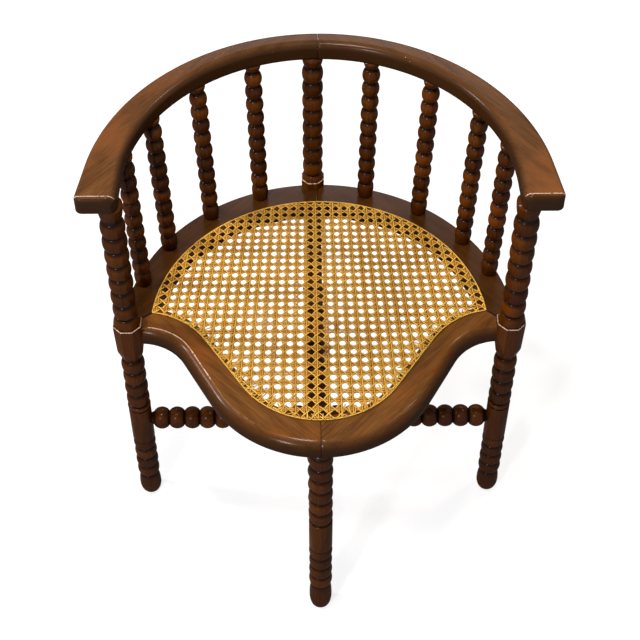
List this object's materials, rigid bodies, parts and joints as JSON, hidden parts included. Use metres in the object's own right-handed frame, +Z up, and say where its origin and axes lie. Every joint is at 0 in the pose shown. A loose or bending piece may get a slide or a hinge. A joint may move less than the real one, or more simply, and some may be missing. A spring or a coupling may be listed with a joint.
{
  "type": "chair",
  "caption": "Corner chair with a round arm and crest on bobbin-turned posts, turned spindles, crossed stretchers and a caned seat with a rounded nose.",
  "frame": {"origin": "on the floor, under the middle of the chair's outer box", "axes": "+Z up, the chair's front towards -Y, +X towards the right-hand arm seen from the front"},
  "size_m": [0.6616, 0.56, 0.72],
  "materials": {
    "arm_wood": "worn satin varnish, reddish brown",
    "turned_wood": "satin varnish, dark reddish brown",
    "rail_wood": "satin varnish, dark brown",
    "dowel_wood": "bare",
    "cane": "golden split cane, satin"
  },
  "bodies": {
    "root": {"arm_left": "arm_wood", "arm_right": "arm_wood", "crest_dowel": "dowel_wood", "post_left": "turned_wood", "post_right": "turned_wood", "post_back": "turned_wood", "leg_front": "turned_wood", "spindle_left_1": "turned_wood", "spindle_left_2": "turned_wood", "spindle_left_3": "turned_wood", "spindle_left_4": "turned_wood", "spindle_right_1": "turned_wood", "spindle_right_2": "turned_wood", "spindle_right_3": "turned_wood", "spindle_right_4": "turned_wood", "seat_rail_back_left": "rail_wood", "seat_rail_back_right": "rail_wood", "seat_rail_front_left": "rail_wood", "seat_rail_front_right": "rail_wood", "seat_dowel_back": "dowel_wood", "seat_dowel_front": "dowel_wood", "stretcher_side": "turned_wood", "stretcher_fore": "turned_wood", "cane_seat": "cane", "cane_binder": "cane"}
  },
  "joints": []
}
